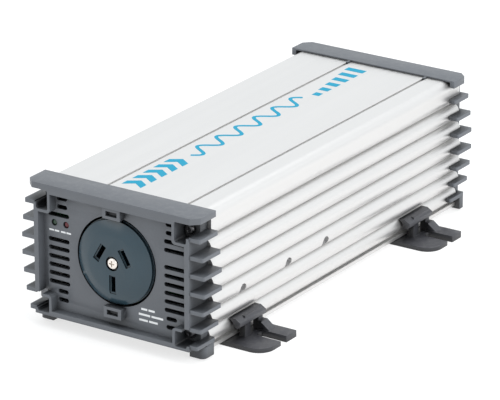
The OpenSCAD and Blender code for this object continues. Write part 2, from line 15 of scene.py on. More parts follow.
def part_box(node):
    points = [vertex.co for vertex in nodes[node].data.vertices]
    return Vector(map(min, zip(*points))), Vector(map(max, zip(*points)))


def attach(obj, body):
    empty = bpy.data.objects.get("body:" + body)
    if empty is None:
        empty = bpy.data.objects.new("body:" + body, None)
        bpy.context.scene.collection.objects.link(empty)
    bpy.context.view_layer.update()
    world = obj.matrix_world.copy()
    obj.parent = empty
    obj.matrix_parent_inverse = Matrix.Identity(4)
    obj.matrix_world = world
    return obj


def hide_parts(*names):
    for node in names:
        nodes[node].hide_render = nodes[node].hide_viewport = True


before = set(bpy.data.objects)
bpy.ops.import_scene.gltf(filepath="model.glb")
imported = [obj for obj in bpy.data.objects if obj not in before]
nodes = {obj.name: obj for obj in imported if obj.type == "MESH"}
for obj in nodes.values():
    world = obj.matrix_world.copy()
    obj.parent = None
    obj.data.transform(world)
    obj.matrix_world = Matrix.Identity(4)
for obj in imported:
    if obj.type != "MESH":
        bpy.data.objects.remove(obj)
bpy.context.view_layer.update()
MM = 0.001

# %% [markdown]
# Camera, floor and light
#
# A product is shot on a pale sweep with large soft boxes. A long lens from above the front
# right corner keeps the fins nearly parallel. The sky is a soft white, so that the metal has
# something bright to mirror, and three large lamps give the faces their different tones.

# %% Camera
VIEW_AZIMUTH = math.radians(33.45)
VIEW_HEIGHT = math.radians(20.99)
VIEW_DISTANCE = 1.8147
LENS = 274.5
view_back = Vector((
    math.sin(VIEW_AZIMUTH) * math.cos(VIEW_HEIGHT),
    -math.cos(VIEW_AZIMUTH) * math.cos(VIEW_HEIGHT),
    math.sin(VIEW_HEIGHT),
))
view_right = Vector((math.cos(VIEW_AZIMUTH), math.sin(VIEW_AZIMUTH), 0))
view_up = view_right.cross(-view_back)
aim = Vector((0, 0, 35 * MM)) - view_right * 2.32 * MM - view_up * 1.87 * MM

camera_data = bpy.data.cameras.new("camera")
camera_data.lens = LENS
camera_data.sensor_width = 36
camera_data.clip_end = 20
camera = bpy.data.objects.new("camera", camera_data)
camera.location = aim + view_back * VIEW_DISTANCE
camera.rotation_mode = "QUATERNION"
camera.rotation_quaternion = (-view_back).to_track_quat("-Z", "Y")
bpy.context.scene.collection.objects.link(camera)
bpy.context.scene.camera = camera
bpy.context.scene.view_settings.view_transform = "Standard"
print("camera at", [round(v, 3) for v in camera.location])


# %% Floor and lamps
def fresh():
    """Leaves edit mode and deselects everything, before a new piece."""
    if bpy.context.mode != "OBJECT":
        bpy.ops.object.mode_set(mode="OBJECT")
    bpy.ops.object.select_all(action="DESELECT")


def lamp(name, place, target, size, watts):
    """A soft rectangular lamp that looks at a point."""
    data = bpy.data.lights.new(name, "AREA")
    data.shape = "RECTANGLE"
    data.size, data.size_y = size
    data.energy = watts
    made = bpy.data.objects.new(name, data)
    made.location = place
    made.rotation_mode = "QUATERNION"
    made.rotation_quaternion = (Vector(target) - Vector(place)).to_track_quat("-Z", "Y")
    bpy.context.scene.collection.objects.link(made)
    return made


world = bpy.data.worlds.new("studio")
world.use_nodes = True
world.node_tree.nodes["Background"].inputs["Color"].default_value = (0.95, 0.98, 1.0, 1)
world.node_tree.nodes["Background"].inputs["Strength"].default_value = 1.08
bpy.context.scene.world = world

lamp("top box", (0.1, 0.2, 1.3), (0, 0, 0.05), (1.2, 1.2), 5)
lamp("front box", (-0.9, -1.2, 0.7), (0, 0, 0.04), (0.9, 0.7), 2)
lamp("side box", (1.3, -0.2, 0.75), (0, 0, 0.04), (0.8, 0.9), 13)

fresh()
bpy.ops.mesh.primitive_plane_add(size=8, location=(0, 0, 0))
floor = bpy.context.active_object
floor.name = "floor"
floor_paint = bpy.data.materials.new("pale sweep")
floor_paint.use_nodes = True
floor_shader = floor_paint.node_tree.nodes["Principled BSDF"]
floor_shader.inputs["Base Color"].default_value = (0.35, 0.35, 0.35, 1)
floor_shader.inputs["Roughness"].default_value = 1.0
floor_shader.inputs["Specular IOR Level"].default_value = 0.0
floor_shader.inputs["Emission Color"].default_value = (1, 1, 1, 1)
floor_shader.inputs["Emission Strength"].default_value = 0.68
floor.data.materials.append(floor_paint)

# %% [markdown]
# Shared effects
#
# Five small node groups are used by most finishes: the grain of moulded plastic, the fine
# lines that an extrusion die leaves along aluminium, bright wear on sharp edges, dust on faces
# that look up, and painted shade that darkens deep corners and grooves where little light
# reaches. Each is built once and only puts out masks and heights.


# %% Node helpers
def new_group(name, inputs, outputs):
    """A shader node group with named sockets; inputs give their default values."""
    tree = bpy.data.node_groups.new(name, "ShaderNodeTree")
    for label, value in inputs.items():
        socket = tree.interface.new_socket(label, in_out="INPUT", socket_type="NodeSocketFloat")
        socket.default_value = value
    for label in outputs:
        tree.interface.new_socket(label, in_out="OUTPUT", socket_type="NodeSocketFloat")
    return tree, tree.nodes.new("NodeGroupInput"), tree.nodes.new("NodeGroupOutput")


def math_node(tree, operation, *values):
    node = tree.nodes.new("ShaderNodeMath")
    node.operation = operation
    for socket, value in zip(node.inputs, values):
        put(tree, socket, value)
    return node.outputs[0]


def put(tree, socket, value):
    """Links an output to a socket, or sets the socket to a plain value."""
    if isinstance(value, bpy.types.NodeSocket):
        tree.links.new(value, socket)
    else:
        socket.default_value = value


def noise(tree, vector, scale, detail=2.0, roughness=0.5):
    node = tree.nodes.new("ShaderNodeTexNoise")
    put(tree, node.inputs["Vector"], vector)
    put(tree, node.inputs["Scale"], scale)
    node.inputs["Detail"].default_value = detail
    node.inputs["Roughness"].default_value = roughness
    return node.outputs["Fac"]


def ramp(tree, value, low, high, low_out=0.0, high_out=1.0):
    """Remaps a value from low..high to the two outputs, clamped."""
    node = tree.nodes.new("ShaderNodeMapRange")
    for socket, number in zip(node.inputs, (value, low, high, low_out, high_out)):
        put(tree, socket, number)
    return node.outputs["Result"]


def object_place(tree, stretch=(1, 1, 1)):
    """Object coordinates, squeezed per axis so that a pattern can run along one."""
    coords = tree.nodes.new("ShaderNodeTexCoord")
    mapping = tree.nodes.new("ShaderNodeMapping")
    mapping.inputs["Scale"].default_value = stretch
    tree.links.new(coords.outputs["Object"], mapping.inputs["Vector"])
    return mapping.outputs["Vector"]


# %% Grain, die lines, edge wear and dust
grain_group, inside, outside = new_group("moulded grain", {"Scale": 1500.0}, ["Height", "Mask"])
place = object_place(grain_group)
fine = noise(grain_group, place, inside.outputs["Scale"], 3.0, 0.6)
pits = grain_group.nodes.new("ShaderNodeTexVoronoi")
put(grain_group, pits.inputs["Vector"], place)
put(grain_group, pits.inputs["Scale"], inside.outputs["Scale"])
put(grain_group, outside.inputs["Height"],
    math_node(grain_group, "MULTIPLY_ADD", pits.outputs["Distance"], 0.5, fine))
put(grain_group, outside.inputs["Mask"], ramp(grain_group, noise(grain_group, place, 60.0, 4.0), 0.35, 0.65))

lines_group, inside, outside = new_group("die lines", {"Scale": 900.0}, ["Height", "Mask"])
along = object_place(lines_group, (1, 0.004, 1))
streak = noise(lines_group, along, inside.outputs["Scale"], 3.0, 0.7)
broad = noise(lines_group, object_place(lines_group, (1, 0.02, 1)), 160.0, 2.0)
put(lines_group, outside.inputs["Height"], streak)
put(lines_group, outside.inputs["Mask"], math_node(lines_group, "MULTIPLY", streak, broad))

wear_group, inside, outside = new_group("edge wear", {"Width": 0.0005, "Breakup": 300.0}, ["Mask"])
rounded = wear_group.nodes.new("ShaderNodeBevel")
rounded.samples = 4
put(wear_group, rounded.inputs["Radius"], inside.outputs["Width"])
true_normal = wear_group.nodes.new("ShaderNodeNewGeometry")
likeness = wear_group.nodes.new("ShaderNodeVectorMath")
likeness.operation = "DOT_PRODUCT"
wear_group.links.new(rounded.outputs[0], likeness.inputs[0])
wear_group.links.new(true_normal.outputs["Normal"], likeness.inputs[1])
edge = ramp(wear_group, likeness.outputs["Value"], 0.98, 0.80)
patches = noise(wear_group, object_place(wear_group), inside.outputs["Breakup"], 4.0)
scatter = ramp(wear_group, patches, 0.35, 0.6)
put(wear_group, outside.inputs["Mask"], math_node(wear_group, "MULTIPLY", edge, scatter))

dust_group, inside, outside = new_group("settled dust", {"Scale": 400.0}, ["Mask"])
up = dust_group.nodes.new("ShaderNodeNewGeometry")
split = dust_group.nodes.new("ShaderNodeSeparateXYZ")
dust_group.links.new(up.outputs["Normal"], split.inputs[0])
facing_up = ramp(dust_group, split.outputs["Z"], 0.3, 1.0)
motes = noise(dust_group, object_place(dust_group), inside.outputs["Scale"], 6.0, 0.7)
specks = ramp(dust_group, motes, 0.45, 0.75)
put(dust_group, outside.inputs["Mask"], math_node(dust_group, "MULTIPLY", facing_up, specks))

# Painted shade: ambient occlusion marks deep corners, and the finishes darken their colour there.
crevice_group, inside, outside = new_group("crevice shade", {"Reach": 0.016}, ["Mask"])
openness = crevice_group.nodes.new("ShaderNodeAmbientOcclusion")
openness.samples = 8
put(crevice_group, openness.inputs["Distance"], inside.outputs["Reach"])
put(crevice_group, outside.inputs["Mask"], ramp(crevice_group, openness.outputs["AO"], 0.80, 0.32))
print("node groups:", [g.name for g in bpy.data.node_groups])

# %% [markdown]
# Finishes
#
# One function builds a finish from its colour, its shine and the shared effects, so that all
# parts age in the same light. Plain numbers go straight to the shader's own sockets, and only
# what varies over the surface is linked.


# %% The finish builder
def shade(tree, mask, base, other):
    """Mixes two colours by a mask."""
    node = tree.nodes.new("ShaderNodeMix")
    node.data_type = "RGBA"
    put(tree, node.inputs["Factor"], mask)
    put(tree, node.inputs["A"], base)
    put(tree, node.inputs["B"], other)
    return node.outputs["Result"]


def use_group(tree, group, **values):
    node = tree.nodes.new("ShaderNodeGroup")
    node.node_tree = group
    for label, value in values.items():
        node.inputs[label].default_value = value
    return node.outputs


def tone(colour, factor):
    return tuple(min(1, c * factor) for c in colour) + (1,)


def begin_finish(name, roughness, metallic=0.0, **sockets):
    paint = bpy.data.materials.new(name)
    paint.use_nodes = True
    tree = paint.node_tree
    shader = tree.nodes["Principled BSDF"]
    shader.inputs["Roughness"].default_value = roughness
    shader.inputs["Metallic"].default_value = metallic
    for label, value in sockets.items():
        shader.inputs[label.replace("_", " ")].default_value = value
    return paint, tree, shader


def bump(tree, shader, height, depth):
    """Raises the surface by a height pattern whose full range is depth metres."""
    node = tree.nodes.new("ShaderNodeBump")
    node.inputs["Strength"].default_value = 1.0
    node.inputs["Distance"].default_value = depth
    tree.links.new(height, node.inputs["Height"])
    tree.links.new(node.outputs["Normal"], shader.inputs["Normal"])


def plastic(name, colour, roughness, grain_scale=1500.0, grain_depth=0.00002, wear=1.25, dust=0.25):
    """Moulded plastic: fine grain, slightly blotchy shine, polished edges, a little dust and painted shade
    in deep corners.
    """
    paint, tree, shader = begin_finish(name, roughness)
    grain = use_group(tree, grain_group, Scale=grain_scale)
    worn = use_group(tree, wear_group, Width=0.0005)["Mask"]
    dusty = math_node(tree, "MULTIPLY", use_group(tree, dust_group)["Mask"], dust)
    blotch = shade(tree, grain["Mask"], tone(colour, 0.95), tone(colour, 1.05))
    edged = shade(tree, worn, blotch, tone(colour, wear))
    dusted = shade(tree, dusty, edged, (0.45, 0.44, 0.42, 1))
    # Painted shade: the crevice mask darkens the colour to 12 percent in deep corners.
    put(tree, shader.inputs["Base Color"],
        shade(tree, use_group(tree, crevice_group)["Mask"], dusted, tone(colour, 0.12)))
    smooth = ramp(tree, grain["Mask"], 0.0, 1.0, roughness - 0.04, roughness + 0.05)
    put(tree, shader.inputs["Roughness"], math_node(tree, "MULTIPLY_ADD", worn, -0.12, smooth))
    bump(tree, shader, grain["Height"], grain_depth)
    return paint


def metal(name, colour, roughness, line_scale=900.0, line_depth=0.000004, metallic=1.0, wear=1.1):
    """Bare metal with lines along the part, slightly brighter edges and painted shade in grooves."""
    paint, tree, shader = begin_finish(name, roughness, metallic)
    lines = use_group(tree, lines_group, Scale=line_scale)
    worn = use_group(tree, wear_group, Width=0.0004)["Mask"]
    streaky = shade(tree, lines["Mask"], tone(colour, 0.94), tone(colour, 1.04))
    edged = shade(tree, worn, streaky, tone(colour, wear))
    # Painted shade: the colour darkens to 78 percent in grooves and between fins, where the crevice mask is
    # high.
    painted_groove_shade = use_group(tree, crevice_group, Reach=0.007)["Mask"]
    put(tree, shader.inputs["Base Color"], shade(tree, painted_groove_shade, edged, tone(colour, 0.78)))
    put(tree, shader.inputs["Roughness"],
        ramp(tree, lines["Height"], 0.3, 0.7, roughness - 0.05, roughness + 0.06))
    bump(tree, shader, lines["Height"], line_depth)
    return paint


def speckled(name, dark, light, roughness, scale, depth, metallic=0.0):
    """A cast, sintered or printed surface: two tones of one colour in a fine mottle."""
    paint, tree, shader = begin_finish(name, roughness, metallic)
    mottle = noise(tree, object_place(tree), scale, 5.0, 0.65)
    put(tree, shader.inputs["Base Color"],
        shade(tree, ramp(tree, mottle, 0.35, 0.65), dark + (1,), light + (1,)))
    put(tree, shader.inputs["Roughness"], ramp(tree, mottle, 0.3, 0.7, roughness - 0.06, roughness + 0.06))
    bump(tree, shader, mottle, depth)
    return paint


# %% Finishes of the outside
finishes = {
    "aluminium": metal("extruded aluminium", (0.75, 0.742, 0.734), 0.45),
    "slate_plastic": plastic("slate cap plastic", (0.096, 0.104, 0.117), 0.42, dust=0.10),
    "foot_plastic": plastic("black foot plastic", (0.042, 0.043, 0.050), 0.38, wear=1.4, dust=0.08),
    "outlet_plastic": plastic("glossy outlet plastic", (0.018, 0.040, 0.055), 0.2,
                              grain_scale=500.0, grain_depth=0.000002, wear=1.5, dust=0.08),
    "steel": metal("zinc plated steel", (0.66, 0.67, 0.69), 0.30, 2500.0, 0.000002),
    "brass": metal("plated brass", (0.78, 0.62, 0.34), 0.26, 2500.0, 0.000002),
    "black_plastic": plastic("black fitting plastic", (0.015, 0.015, 0.016), 0.36, dust=0.15),
    "red_plastic": plastic("red nut plastic", (0.50, 0.018, 0.014), 0.34, dust=0.1),
    "nickel": metal("nickel plated brass", (0.86, 0.80, 0.74), 0.22, 2500.0, 0.000002),
    "black_steel": metal("blackened steel", (0.10, 0.10, 0.105), 0.35, 2500.0, 0.000002),
    "cyan_ink": speckled("cyan ink", (0.0, 0.24, 0.38), (0.0, 0.27, 0.42), 0.8, 2000.0, 0.000002),
    "white_ink": speckled("white ink", (0.62, 0.64, 0.65), (0.74, 0.75, 0.76),
                          0.5, 2000.0, 0.000002),
}

# %% Finishes of the inside
finishes |= {
    "copper": speckled("enamelled copper", (0.48, 0.16, 0.06), (0.70, 0.30, 0.12),
                       0.3, 900.0, 0.00002, 1.0),
    "board": speckled("green circuit board", (0.008, 0.075, 0.028), (0.012, 0.11, 0.04),
                      0.35, 500.0, 0.00001),
    "ferrite": speckled("ferrite core", (0.03, 0.03, 0.032), (0.06, 0.06, 0.062),
                        0.7, 1500.0, 0.00003),
    "core_yellow": speckled("painted iron powder core", (0.55, 0.38, 0.04), (0.7, 0.5, 0.06),
                            0.4, 800.0, 0.00002),
    "capacitor_sleeve": speckled("capacitor sleeve", (0.008, 0.012, 0.03), (0.012, 0.02, 0.045),
                                 0.3, 300.0, 0.00001),
    "fuse_plastic": speckled("clear blue fuse plastic", (0.02, 0.12, 0.4), (0.03, 0.16, 0.5),
                             0.2, 300.0, 0.00001),
    "insulator": speckled("grey silicone pad", (0.22, 0.24, 0.25), (0.28, 0.30, 0.31),
                          0.75, 1200.0, 0.00003),
    "lamp_green": speckled("green lamp lens", (0.008, 0.028, 0.014), (0.012, 0.04, 0.02),
                           0.1, 300.0, 0.000002),
    "lamp_red": speckled("red lamp lens", (0.07, 0.004, 0.008), (0.10, 0.006, 0.012),
                         0.1, 300.0, 0.000002),
}
for node in nodes.values():
    for slot in node.material_slots:
        slot.material = finishes[slot.material.name]
print("finishes:", len(finishes), "on", len(nodes), "CAD nodes")

# %% [markdown]
# Modelling tools
#
# Each new piece starts as a primitive at its place and is shaped in edit mode. An operator
# acts on what is selected, so these helpers deselect, pick faces or edges by their place and
# direction, and close the edit again. A finished piece has its place in its mesh.


# %% Edit mode helpers
def open_shape(name):
    """Names the new primitive, puts its place into its mesh and opens it for editing."""
    piece = bpy.context.active_object
    piece.name = piece.data.name = name
    bpy.ops.object.transform_apply(location=True, rotation=True, scale=True)
    bpy.ops.object.mode_set(mode="EDIT")
    return piece


def pick(kind, test):
    """Selects the faces or edges whose middle and normal (or direction) pass a test."""
    bpy.ops.mesh.select_mode(type=kind)
    bpy.ops.mesh.select_all(action="DESELECT")
    mesh = bpy.context.edit_object.data
    shape = bmesh.from_edit_mesh(mesh)
    count = 0
    if kind == "FACE":
        for face in shape.faces:
            if test(face.calc_center_median(), face.normal):
                face.select_set(True)
                count += 1
    else:
        for edge in shape.edges:
            ends = [v.co for v in edge.verts]
            if test((ends[0] + ends[1]) / 2, (ends[1] - ends[0]).normalized()):
                edge.select_set(True)
                count += 1
    shape.select_flush_mode()
    bmesh.update_edit_mesh(mesh)
    return count


def close_shape(piece, smooth_angle=35):
    """Ends the edit, points the faces outwards and smooths all but the sharp edges."""
    bpy.ops.object.mode_set(mode="OBJECT")
    select_only(piece)
    bpy.ops.object.mode_set(mode="EDIT")
    bpy.ops.mesh.select_all(action="SELECT")
    bpy.ops.mesh.remove_doubles(threshold=0.000001)
    bpy.ops.mesh.normals_make_consistent(inside=False)
    bpy.ops.object.mode_set(mode="OBJECT")
    bpy.ops.object.shade_smooth_by_angle(angle=math.radians(smooth_angle))


def select_only(*pieces):
    fresh()
    for piece in pieces:
        piece.select_set(True)
    bpy.context.view_layer.objects.active = pieces[0]


def apply_modifier(piece, kind, **values):
    """Adds a modifier, sets its values and applies it."""
    select_only(piece)
    modifier = piece.modifiers.new(kind.lower(), kind)
    for label, value in values.items():
        setattr(modifier, label, value)
    bpy.ops.object.modifier_apply(modifier=modifier.name)


def soften_edges(piece, width, angle=35, segments=2):
    """Rounds every edge sharper than an angle, as a mould or a cutter leaves it."""
    apply_modifier(piece, "BEVEL", width=width, segments=segments, limit_method="ANGLE",
                   angle_limit=math.radians(angle), harden_normals=False)
    bpy.ops.object.shade_smooth_by_angle(angle=math.radians(35))


def carve(piece, cutter, operation="DIFFERENCE"):
    """Cuts one closed shape out of another and removes the cutter."""
    apply_modifier(piece, "BOOLEAN", object=cutter, operation=operation)
    bpy.data.objects.remove(cutter)


def join_pieces(name, parts):
    select_only(*parts)
    bpy.ops.object.join()
    joined = bpy.context.active_object
    joined.name = joined.data.name = name
    return joined


def block(name, low, high, turn=None):
    """A box between two corners, ready to cut or to shape, turned by a matrix if given."""
    low, high = Vector(low), Vector(high)
    fresh()
    bpy.ops.mesh.primitive_cube_add(size=1, location=(low + high) / 2)
    piece = bpy.context.active_object
    piece.name = piece.data.name = name
    piece.scale = high - low
    bpy.ops.object.transform_apply(location=True, rotation=True, scale=True)
    if turn:
        piece.data.transform(turn)
    return piece


def rod_y(name, centre, radius, y0, y1, sides=64):
    """A round bar along Y, from y0 to y1."""
    fresh()
    bpy.ops.mesh.primitive_cylinder_add(
        vertices=sides, radius=radius, depth=y1 - y0,
        location=(centre[0], (y0 + y1) / 2, centre[1]), rotation=(math.pi / 2, 0, 0))
    piece = bpy.context.active_object
    piece.name = piece.data.name = name
    bpy.ops.object.transform_apply(location=True, rotation=True, scale=True)
    return piece


def place_copy(source, name, matrix):
    """A copy with its own mesh, moved by changing the mesh and not the object."""
    copy = bpy.data.objects.new(name, source.data.copy())
    copy.data.name = name
    copy.data.transform(matrix)
    bpy.context.scene.collection.objects.link(copy)
    return copy


def finish_piece(piece, finish, body, *replaced, slot=None):
    """Gives a piece its finish and its body, and hides the CAD nodes that it stands for."""
    piece.data.materials.clear()
    piece.data.materials.append(finishes[finish])
    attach(piece, body)
    if replaced:
        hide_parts(*replaced)
    triangles = sum(len(face.vertices) - 2 for face in piece.data.polygons)
    print(f"{piece.name}: {triangles} triangles")
    return piece


def middle(node):
    """Middle of a CAD node's box."""
    low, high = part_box(node)
    return (low + high) / 2


# %% [markdown]
# Moulded parts with softened edges
#
# A moulded cap or foot has no truly sharp edge: each one is rounded by a few tenths of a
# millimetre, and that line of light is what makes it look moulded. The shapes are right in the
# CAD model, so a copy is merged into whole faces and every sharp edge is rounded.


# %% Softened copies
def softened(node, name, width, finish, slot, body="case", segments=2, flat_angle=1.0):
    piece = place_copy(nodes[node], name, Matrix.Identity(4))
    select_only(piece)
    bpy.ops.mesh.customdata_custom_splitnormals_clear()
    bpy.ops.object.mode_set(mode="EDIT")
    bpy.ops.mesh.select_all(action="SELECT")
    bpy.ops.mesh.remove_doubles(threshold=0.000005)
    bpy.ops.mesh.dissolve_limited(angle_limit=math.radians(flat_angle))
    bpy.ops.object.mode_set(mode="OBJECT")
    soften_edges(piece, width, 32, segments)
    return finish_piece(piece, finish, body, node, slot=slot)


softened("front_cap", "front_cap_moulding", 0.25 * MM, "slate_plastic", "slate_plastic")
softened("rear_cap", "rear_cap_moulding", 0.25 * MM, "slate_plastic", "slate_plastic")
for corner in ("front_right", "front_left", "rear_right", "rear_left"):
    softened(f"foot_{corner}", f"foot_{corner}_moulding", 0.35 * MM, "foot_plastic", "foot_plastic",
             body=f"foot_{corner}", segments=3)
softened("switch_body", "switch_bezel", 0.3 * MM, "black_plastic", "black_plastic")
softened("terminal_base", "terminal_block", 0.3 * MM, "black_plastic", "black_plastic")
softened("fan_frame", "fan_housing", 0.25 * MM, "black_plastic", "black_plastic")

# %% [markdown]
# Outlet face
#
# The mains outlet is a round moulding of glossy plastic, slightly domed, with two slanted
# slots, an upright earth slot and a screw in its middle. It could be lathed from an outline;
# here a cylinder's front face is inset and raised in rings, so that the flange and the dome
# stay concentric, and the slots are cut with boxes before all the edges are rounded.

# %% Outlet disc
outlet_low, outlet_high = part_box("outlet_face")
outlet_middle = middle("outlet_face")
FLANGE_R = outlet_high.x
FLANGE_STEP = 0.5 * MM
DOME = [(1.2, 0.6), (2.4, 1.0), (2.6, 0.75), (1.0, 0.25)]
dome_rise = sum(rise for width, rise in DOME) * MM
RIM = 1.6 * MM
disc = rod_y("outlet_disc", (0, outlet_middle.z), FLANGE_R,
             outlet_low.y + dome_rise + RIM, outlet_high.y, 128)
disc = open_shape("outlet_disc")
pick("FACE", lambda c, n: n.y < -0.9)
bpy.ops.mesh.inset(thickness=FLANGE_STEP, depth=0)
bpy.ops.mesh.extrude_region_move(TRANSFORM_OT_translate={"value": (0, -RIM, 0)})
for width, rise in DOME:
    bpy.ops.mesh.inset(thickness=width * MM, depth=rise * MM)
close_shape(disc)
print("disc front at", round(min(v.co.y for v in disc.data.vertices) / MM, 2), "mm")

BLADE_R = 7.92 * MM
BLADE_TURN = math.radians(30)
EARTH_DROP = 10.31 * MM


def blade_box(name, width, height, depth, turn, offset):
    """A box for one blade slot, sunk depth behind the disc's face."""
    half = Vector((width / 2, depth, height / 2))
    box = block(name, -half, half)
    spot = Matrix.Translation((offset[0], outlet_low.y, outlet_middle.z + offset[1]))
    box.data.transform(spot @ Matrix.Rotation(turn, 4, "Y"))
    return box


blade_x, blade_z = BLADE_R * math.cos(BLADE_TURN), BLADE_R * math.sin(BLADE_TURN)
slots = [(BLADE_TURN, (-blade_x, blade_z)), (-BLADE_TURN, (blade_x, blade_z)), (0, (0, -EARTH_DROP))]
for turn, offset in slots:
    carve(disc, blade_box("recess cutter", 3.5 * MM, 9 * MM, 1.0 * MM, turn, offset))
    carve(disc, blade_box("slot cutter", 2.3 * MM, 7.4 * MM, 12 * MM, turn, offset))
carve(disc, rod_y("screw recess cutter", (0, outlet_middle.z), 3.5 * MM,
                  outlet_low.y - MM, outlet_low.y + 1.7 * MM, 48))
soften_edges(disc, 0.22 * MM, 30, 3)
finish_piece(disc, "outlet_plastic", "case", "outlet_face", slot="outlet_plastic")

# %% [markdown]
# Screws
#
# A pan head screw has a rounded rim and a cross recess. It is modelled once, one millimetre
# in radius, and each screw on the case is a copy scaled to its own head.

# %% One head, many copies
head = rod_y("screw_head", (0, 0), 1.0, -0.62, 0, 40)
head = open_shape("screw_head")
pick("EDGE", lambda c, d: c.y < -0.6)
bpy.ops.mesh.bevel(offset=0.42, segments=6, affect="EDGES")
close_shape(head)
for turn in (0, math.pi / 2):
    arm = block("recess arm", (-0.52, -1, -0.10), (0.52, -0.28, 0.10), Matrix.Rotation(turn, 4, "Y"))
    carve(head, arm)
soften_edges(head, 0.025, 40, 2)


def screws(name, spots, radius, facing, finish, *replaced, slot=None):
    """Heads at some spots: facing is -1 when they look forward and 1 when they look back."""
    flip = Matrix.Rotation(0 if facing < 0 else math.pi, 4, "Z")
    parts = [place_copy(head, f"{name}_{i}",
                        Matrix.Translation(spot) @ flip @ Matrix.Scale(radius, 4))
             for i, spot in enumerate(spots)]
    return finish_piece(join_pieces(name, parts), finish, "case", *replaced, slot=slot)


def corner_spots(node, y, radius):
    """The four head centres of a CAD screw set, from the corners of its box."""
    low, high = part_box(node)
    return [(x, y, z) for x in (low.x + radius, high.x - radius) for z in (low.z + radius, high.z - radius)]


screw_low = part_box("outlet_screw")[0]
screws("outlet_centre_screw", [(0, screw_low.y + 1.3 * MM, outlet_middle.z)], 2.8 * MM, -1,
       "nickel", "outlet_screw", slot="brass")
front_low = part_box("front_cap_screws")[0]
screws("front_cap_screw_heads", corner_spots("front_cap_screws", front_low.y + 1.6 * MM, 2.5 * MM),
       2.5 * MM, -1, "black_steel", "front_cap_screws", slot="steel")
rear_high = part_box("rear_cap_screws")[1]
screws("rear_cap_screw_heads", corner_spots("rear_cap_screws", rear_high.y - 1.66 * MM, 2.7 * MM),
       2.65 * MM, 1, "steel", "rear_cap_screws", slot="steel")
fan_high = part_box("fan_screws")[1]
screws("fan_screw_heads", corner_spots("fan_screws", fan_high.y - 0.9 * MM, 2.4 * MM),
       1.45 * MM, 1, "black_steel", "fan_screws", slot="steel")
bpy.data.objects.remove(head)

# %% [markdown]
# Fan
#
# A 40 mm fan blows through the rear panel. Its blades are thin and twisted, steeper at the hub
# than at the tip. One blade is a thin block, divided and twisted, and six turned copies follow.

# %% Rotor
rotor_low, rotor_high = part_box("fan_rotor")
fan_centre = (-17.4 * MM, 38.6 * MM)
HUB_R = 9 * MM
BLADES = 7
hub = rod_y("fan_hub", fan_centre, HUB_R, rotor_low.y + 2.8 * MM, rotor_high.y, 64)
hub = open_shape("fan_hub")
pick("FACE", lambda c, n: n.y > 0.9)
bpy.ops.mesh.inset(thickness=0.8 * MM, depth=-0.3 * MM)
bpy.ops.mesh.inset(thickness=0.6 * MM, depth=0.3 * MM)
close_shape(hub)
soften_edges(hub, 0.35 * MM, 35, 3)

blade = block("fan_blade", (-4.4 * MM, -0.45 * MM, -4.5 * MM), (4.4 * MM, 0.45 * MM, 4.5 * MM))
select_only(blade)
blade = open_shape("fan_blade")
bpy.ops.mesh.select_all(action="SELECT")
bpy.ops.mesh.subdivide(number_cuts=6)
close_shape(blade)
apply_modifier(blade, "SIMPLE_DEFORM", deform_method="TWIST", deform_axis="X", angle=math.radians(-22))
soften_edges(blade, 0.15 * MM, 50, 2)
rotor_parts = [hub]
tilt = Matrix.Rotation(math.radians(-52), 4, "X")
reach = Matrix.Translation((HUB_R + 4.0 * MM, 0, 0))
for i in range(BLADES):
    turn = Matrix.Rotation(i * 2 * math.pi / BLADES, 4, "Y")
    centre = Matrix.Translation((fan_centre[0], rotor_low.y + 8.2 * MM, fan_centre[1]))
    rotor_parts.append(place_copy(blade, f"fan_blade_{i}", centre @ turn @ reach @ tilt))
bpy.data.objects.remove(blade)
finish_piece(join_pieces("fan_rotor_blades", rotor_parts), "black_plastic", "fan_rotor",
             "fan_rotor", slot="black_plastic")

# %% [markdown]
# Finger guard
#
# The guard is welded wire: four rings, crossed by two wires and held by four small eyes.

# %% Wire guard
guard_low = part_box("fan_guard")[0]
WIRE_R = 0.5 * MM
guard_y = guard_low.y + WIRE_R
guard_parts = []


def wire_ring(x, z, radius, wire):
    fresh()
    bpy.ops.mesh.primitive_torus_add(
        location=(x, guard_y, z), rotation=(math.pi / 2, 0, 0),
        major_radius=radius, minor_radius=wire, major_segments=72 if radius > 3 * MM else 32,
        minor_segments=10)
    bpy.ops.object.transform_apply(location=True, rotation=True, scale=True)
    guard_parts.append(bpy.context.active_object)


for radius in (5, 10, 15, 19):
    wire_ring(fan_centre[0], fan_centre[1], radius * MM, WIRE_R * 0.95)
for x in (-16, 16):
    for z in (-16, 16):
        wire_ring(fan_centre[0] + x * MM, fan_centre[1] + z * MM, 2.05 * MM, 0.45 * MM)
for turn in (45, -45):
    fresh()
    bpy.ops.mesh.primitive_cylinder_add(vertices=12, radius=0.4 * MM, depth=41 * MM)
    spoke = bpy.context.active_object
    spoke.data.transform(Matrix.Translation((fan_centre[0], guard_y, fan_centre[1]))
                         @ Matrix.Rotation(math.radians(turn), 4, "Y"))
    guard_parts.append(spoke)
guard = join_pieces("finger_guard", guard_parts)
select_only(guard)
bpy.ops.object.shade_smooth()
finish_piece(guard, "steel", "case", "fan_guard", slot="steel")

# %% [markdown]
# Terminals
#
# The battery cables are held under knurled thumb nuts, red for plus and black for minus, on
# threaded brass studs. The knurl is made by insetting each side face outwards.


# %% Thumb nuts and studs
def thumb_nut(name, node, finish, slot):
    low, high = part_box(node)
    centre = middle(node)
    nut = rod_y(name, (centre.x, centre.z), 6 * MM, low.y, high.y, 30)
    nut = open_shape(name)
    pick("FACE", lambda c, n: abs(n.y) < 0.1)
    bpy.ops.mesh.inset(thickness=0.22 * MM, depth=0.45 * MM, use_individual=True)
    pick("FACE", lambda c, n: n.y > 0.9)
    bpy.ops.mesh.inset(thickness=1.2 * MM, depth=0)
    bpy.ops.mesh.inset(thickness=0.5 * MM, depth=-0.5 * MM)
    close_shape(nut, 25)
    carve(nut, rod_y("bore", (centre.x, centre.z), 3.06 * MM, low.y - MM, high.y + MM, 48))
    soften_edges(nut, 0.12 * MM, 30, 2)
    return finish_piece(nut, finish, node, node, slot=slot)


PITCH = 0.7 * MM
ROOT = 0.9


